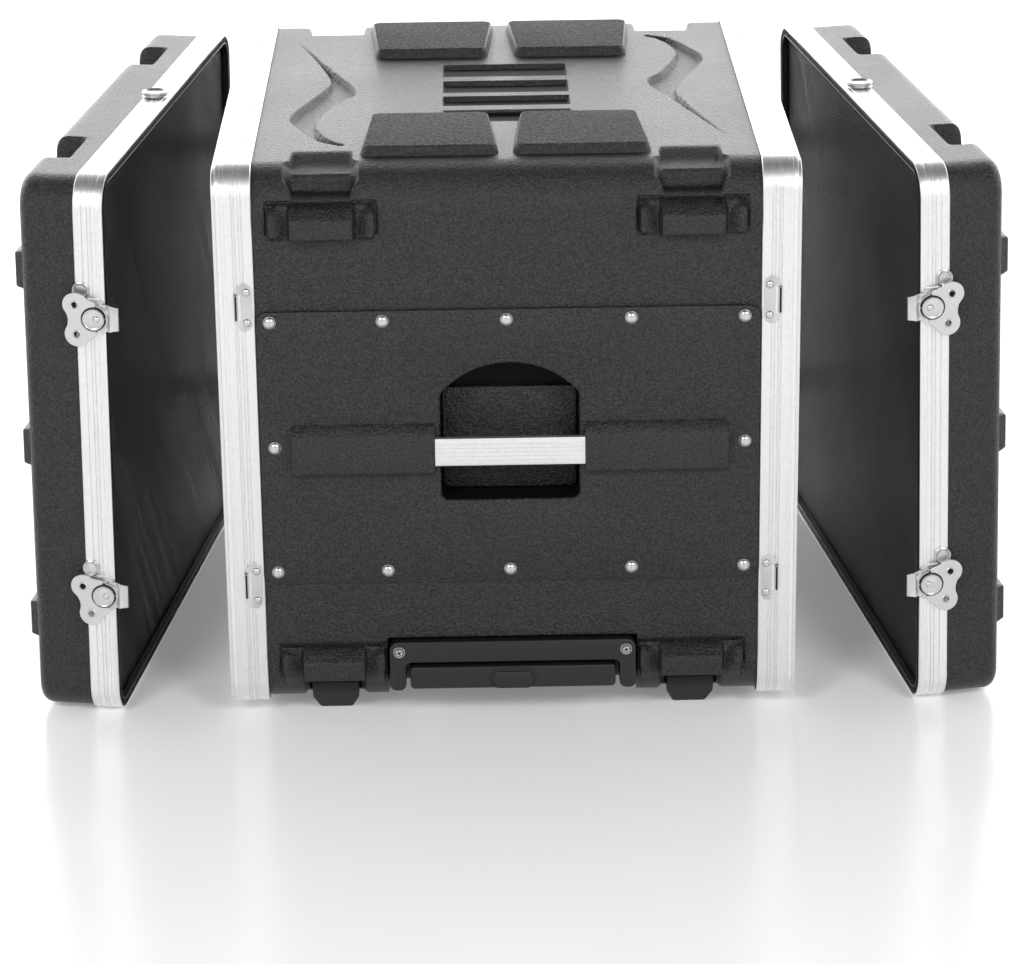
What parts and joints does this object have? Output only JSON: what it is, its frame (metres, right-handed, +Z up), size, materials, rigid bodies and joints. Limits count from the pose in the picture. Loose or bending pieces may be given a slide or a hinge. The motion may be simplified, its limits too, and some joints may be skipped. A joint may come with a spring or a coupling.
{
  "type": "equipment rack case",
  "caption": "Moulded rolling rack case with aluminium edge frames, grip bars, a pull handle and wheels, its two lids with twist latches standing open at either end.",
  "frame": {"origin": "on the floor, at the middle of the footprint of the case and its two standing lids", "axes": "+X along the depth of the rack bay, towards the right lid; +Y from the pull handle side towards the wheel side; +Z up"},
  "size_m": [0.892, 0.6153, 0.5244],
  "materials": {
    "moulded_plastic": "charcoal black rotomoulded polyethylene with a leather grain",
    "smooth_plastic": "black injection moulded nylon, satin",
    "black_rubber": "black rubber",
    "anodised_aluminium": "bright ribbed extrusion, satin",
    "plated_steel": "bright zinc and chrome plate",
    "painted_steel": "black powder coat"
  },
  "bodies": {
    "case": {"case_shell": "moulded_plastic", "right_case_frame": "anodised_aluminium", "left_case_frame": "anodised_aluminium", "near_side_panel": "moulded_plastic", "far_side_panel": "moulded_plastic", "near_grip_bar": "anodised_aluminium", "far_grip_bar": "anodised_aluminium", "right_near_rack_rail": "painted_steel", "left_near_rack_rail": "painted_steel", "right_far_rack_rail": "painted_steel", "left_far_rack_rail": "painted_steel", "left_foot": "black_rubber", "left_axle": "painted_steel", "left_tow_guide": "painted_steel", "right_foot": "black_rubber", "right_axle": "painted_steel", "right_tow_guide": "painted_steel", "tow_bezel": "smooth_plastic"},
    "tow_handle": {"left_tow_tube": "anodised_aluminium", "right_tow_tube": "anodised_aluminium", "tow_grip": "smooth_plastic"},
    "tow_button": {"tow_button": "smooth_plastic"},
    "left_wheel": {"left_wheel": "black_rubber"},
    "right_wheel": {"right_wheel": "black_rubber"},
    "left_lid_carrier": {"left_lid_top_boss": "plated_steel"},
    "left_lid": {"left_lid_frame": "anodised_aluminium", "left_lid_tray": "moulded_plastic"},
    "right_lid_carrier": {"right_lid_top_boss": "plated_steel"},
    "right_lid": {"right_lid_frame": "anodised_aluminium", "right_lid_tray": "moulded_plastic"},
    "left_far_lower_latch_drum": {"left_far_lower_latch_drum": "plated_steel"},
    "left_far_lower_latch_wing": {"left_far_lower_latch_wing": "plated_steel"},
    "left_far_lower_latch_tongue": {"left_far_lower_latch_tongue": "plated_steel"},
    "left_near_lower_latch_drum": {"left_near_lower_latch_drum": "plated_steel"},
    "left_near_lower_latch_wing": {"left_near_lower_latch_wing": "plated_steel"},
    "left_near_lower_latch_tongue": {"left_near_lower_latch_tongue": "plated_steel"},
    "left_far_upper_latch_drum": {"left_far_upper_latch_drum": "plated_steel"},
    "left_far_upper_latch_wing": {"left_far_upper_latch_wing": "plated_steel"},
    "left_far_upper_latch_tongue": {"left_far_upper_latch_tongue": "plated_steel"},
    "left_near_upper_latch_drum": {"left_near_upper_latch_drum": "plated_steel"},
    "left_near_upper_latch_wing": {"left_near_upper_latch_wing": "plated_steel"},
    "left_near_upper_latch_tongue": {"left_near_upper_latch_tongue": "plated_steel"},
    "right_near_lower_latch_drum": {"right_near_lower_latch_drum": "plated_steel"},
    "right_near_lower_latch_wing": {"right_near_lower_latch_wing": "plated_steel"},
    "right_near_lower_latch_tongue": {"right_near_lower_latch_tongue": "plated_steel"},
    "right_far_lower_latch_drum": {"right_far_lower_latch_drum": "plated_steel"},
    "right_far_lower_latch_wing": {"right_far_lower_latch_wing": "plated_steel"},
    "right_far_lower_latch_tongue": {"right_far_lower_latch_tongue": "plated_steel"},
    "right_near_upper_latch_drum": {"right_near_upper_latch_drum": "plated_steel"},
    "right_near_upper_latch_wing": {"right_near_upper_latch_wing": "plated_steel"},
    "right_near_upper_latch_tongue": {"right_near_upper_latch_tongue": "plated_steel"},
    "right_far_upper_latch_drum": {"right_far_upper_latch_drum": "plated_steel"},
    "right_far_upper_latch_wing": {"right_far_upper_latch_wing": "plated_steel"},
    "right_far_upper_latch_tongue": {"right_far_upper_latch_tongue": "plated_steel"}
  },
  "joints": [
    {"name": "tow_pull", "type": "slide", "parent": "case", "child": "tow_handle", "axis": [0, -1, 0], "range_m": [0, 0.4]},
    {"name": "tow_button_press", "type": "slide", "parent": "tow_handle", "child": "tow_button", "axis": [0, 1, 0], "range_m": [0, 0.004], "stiffness_N_per_m": 400},
    {"name": "left_wheel_spin", "type": "hinge", "parent": "case", "child": "left_wheel", "pos_m": [-0.16783, 0.25868, 0.025], "axis": [1, 0, 0], "continuous": true},
    {"name": "right_wheel_spin", "type": "hinge", "parent": "case", "child": "right_wheel", "pos_m": [0.15617, 0.25868, 0.025], "axis": [1, 0, 0], "continuous": true},
    {"name": "left_lid_close", "type": "slide", "parent": "case", "child": "left_lid_carrier", "axis": [0.9708, -0.1662, 0.1732], "range_m": [0, 0.05955]},
    {"name": "left_lid_square_up", "type": "hinge", "parent": "left_lid_carrier", "child": "left_lid", "pos_m": [-0.33404, 0.01408, 0.50819], "axis": [-0.0078, -0.1167, 0.9931], "range_deg": [0, 7.7]},
    {"name": "right_lid_close", "type": "slide", "parent": "case", "child": "right_lid_carrier", "axis": [-0.9847, -0.0891, 0.1497], "range_m": [0, 0.06858]},
    {"name": "right_lid_square_up", "type": "hinge", "parent": "right_lid_carrier", "child": "right_lid", "pos_m": [0.3321, 0.01029, 0.50824], "axis": [-0.0116, 0.1828, -0.9831], "range_deg": [0, 7.37]},
    {"name": "left_far_lower_latch_turn", "type": "hinge", "parent": "left_lid", "child": "left_far_lower_latch_drum", "pos_m": [-0.29547, 0.29646, 0.12213], "axis": [0.1331, 0.9911, 0], "range_deg": [-20, 180]},
    {"name": "left_far_lower_latch_fold", "type": "hinge", "parent": "left_far_lower_latch_drum", "child": "left_far_lower_latch_wing", "pos_m": [-0.29454, 0.30339, 0.12213], "axis": [-0.0156, 0.0021, -0.9999], "range_deg": [0, 90]},
    {"name": "left_far_lower_latch_draw", "type": "slide", "parent": "left_lid", "child": "left_far_lower_latch_tongue", "axis": [0.991, -0.1331, -0.0157], "range_m": [-0.00088, 0.00786]},
    {"name": "left_near_lower_latch_turn", "type": "hinge", "parent": "left_lid", "child": "left_near_lower_latch_drum", "pos_m": [-0.37335, -0.28334, 0.12213], "axis": [-0.1331, -0.9911, 0], "range_deg": [-35, 165]},
    {"name": "left_near_lower_latch_fold", "type": "hinge", "parent": "left_near_lower_latch_drum", "child": "left_near_lower_latch_wing", "pos_m": [-0.37428, -0.29028, 0.12213], "axis": [-0.2414, 0.0324, 0.9699], "range_deg": [0, 90]},
    {"name": "left_near_lower_latch_draw", "type": "slide", "parent": "left_lid", "child": "left_near_lower_latch_tongue", "axis": [0.991, -0.1331, -0.0157], "range_m": [-0.00154, 0.00721]},
    {"name": "left_far_upper_latch_turn", "type": "hinge", "parent": "left_lid", "child": "left_far_upper_latch_drum", "pos_m": [-0.29139, 0.29591, 0.3841], "axis": [0.1331, 0.9911, 0], "range_deg": [-20, 180]},
    {"name": "left_far_upper_latch_fold", "type": "hinge", "parent": "left_far_upper_latch_drum", "child": "left_far_upper_latch_wing", "pos_m": [-0.29046, 0.30285, 0.3841], "axis": [-0.0156, 0.0021, -0.9999], "range_deg": [0, 90]},
    {"name": "left_far_upper_latch_draw", "type": "slide", "parent": "left_lid", "child": "left_far_upper_latch_tongue", "axis": [0.991, -0.1331, -0.0157], "range_m": [-0.00088, 0.00786]},
    {"name": "left_near_upper_latch_turn", "type": "hinge", "parent": "left_lid", "child": "left_near_upper_latch_drum", "pos_m": [-0.36927, -0.28388, 0.3841], "axis": [-0.1331, -0.9911, 0], "range_deg": [-22.5, 177.5]},
    {"name": "left_near_upper_latch_fold", "type": "hinge", "parent": "left_near_upper_latch_drum", "child": "left_near_upper_latch_wing", "pos_m": [-0.3702, -0.29082, 0.3841], "axis": [-0.0277, 0.0037, 0.9996], "range_deg": [0, 90]},
    {"name": "left_near_upper_latch_draw", "type": "slide", "parent": "left_lid", "child": "left_near_upper_latch_tongue", "axis": [0.991, -0.1331, -0.0157], "range_m": [-0.00099, 0.00775]},
    {"name": "right_near_lower_latch_turn", "type": "hinge", "parent": "right_lid", "child": "right_near_lower_latch_drum", "pos_m": [0.37234, -0.28701, 0.12219], "axis": [0.1262, -0.992, 0], "range_deg": [-11.5, 188.5]},
    {"name": "right_near_lower_latch_fold", "type": "hinge", "parent": "right_near_lower_latch_drum", "child": "right_near_lower_latch_wing", "pos_m": [0.37322, -0.29395, 0.12219], "axis": [-0.1235, -0.0157, -0.9922], "range_deg": [0, 90]},
    {"name": "right_near_lower_latch_draw", "type": "slide", "parent": "right_lid", "child": "right_near_lower_latch_tongue", "axis": [-0.9917, -0.1262, -0.0236], "range_m": [-0.00051, 0.00823]},
    {"name": "right_far_lower_latch_turn", "type": "hinge", "parent": "right_lid", "child": "right_far_lower_latch_drum", "pos_m": [0.29851, 0.29331, 0.12219], "axis": [-0.1262, 0.992, 0], "range_deg": [-20, 180]},
    {"name": "right_far_lower_latch_fold", "type": "hinge", "parent": "right_far_lower_latch_drum", "child": "right_far_lower_latch_wing", "pos_m": [0.29763, 0.30026, 0.12219], "axis": [-0.0234, -0.003, 0.9997], "range_deg": [0, 90]},
    {"name": "right_far_lower_latch_draw", "type": "slide", "parent": "right_lid", "child": "right_far_lower_latch_tongue", "axis": [-0.9917, -0.1262, -0.0236], "range_m": [-0.00088, 0.00786]},
    {"name": "right_near_upper_latch_turn", "type": "hinge", "parent": "right_lid", "child": "right_near_upper_latch_drum", "pos_m": [0.36622, -0.28779, 0.38411], "axis": [0.1262, -0.992, 0], "range_deg": [-13, 187]},
    {"name": "right_near_upper_latch_fold", "type": "hinge", "parent": "right_near_upper_latch_drum", "child": "right_near_upper_latch_wing", "pos_m": [0.3671, -0.29473, 0.38411], "axis": [-0.0977, -0.0124, -0.9951], "range_deg": [0, 90]},
    {"name": "right_near_upper_latch_draw", "type": "slide", "parent": "right_lid", "child": "right_near_upper_latch_tongue", "axis": [-0.9917, -0.1262, -0.0236], "range_m": [-0.00058, 0.00817]},
    {"name": "right_far_upper_latch_turn", "type": "hinge", "parent": "right_lid", "child": "right_far_upper_latch_drum", "pos_m": [0.29239, 0.29253, 0.38411], "axis": [-0.1262, 0.992, 0], "range_deg": [-20, 180]},
    {"name": "right_far_upper_latch_fold", "type": "hinge", "parent": "right_far_upper_latch_drum", "child": "right_far_upper_latch_wing", "pos_m": [0.29151, 0.29948, 0.38411], "axis": [-0.0234, -0.003, 0.9997], "range_deg": [0, 90]},
    {"name": "right_far_upper_latch_draw", "type": "slide", "parent": "right_lid", "child": "right_far_upper_latch_tongue", "axis": [-0.9917, -0.1262, -0.0236], "range_m": [-0.00088, 0.00786]}
  ],
  "couplings": [
    {"joint": "left_lid_square_up", "follows": "left_lid_close", "rad_per_m": 2.2575},
    {"joint": "right_lid_square_up", "follows": "right_lid_close", "rad_per_m": 1.8767},
    {"joint": "left_far_lower_latch_draw", "follows": "left_far_lower_latch_turn", "m_per_rad": 0.0025},
    {"joint": "left_near_lower_latch_draw", "follows": "left_near_lower_latch_turn", "m_per_rad": 0.0025},
    {"joint": "left_far_upper_latch_draw", "follows": "left_far_upper_latch_turn", "m_per_rad": 0.0025},
    {"joint": "left_near_upper_latch_draw", "follows": "left_near_upper_latch_turn", "m_per_rad": 0.0025},
    {"joint": "right_near_lower_latch_draw", "follows": "right_near_lower_latch_turn", "m_per_rad": 0.0025},
    {"joint": "right_far_lower_latch_draw", "follows": "right_far_lower_latch_turn", "m_per_rad": 0.0025},
    {"joint": "right_near_upper_latch_draw", "follows": "right_near_upper_latch_turn", "m_per_rad": 0.0025},
    {"joint": "right_far_upper_latch_draw", "follows": "right_far_upper_latch_turn", "m_per_rad": 0.0025}
  ]
}
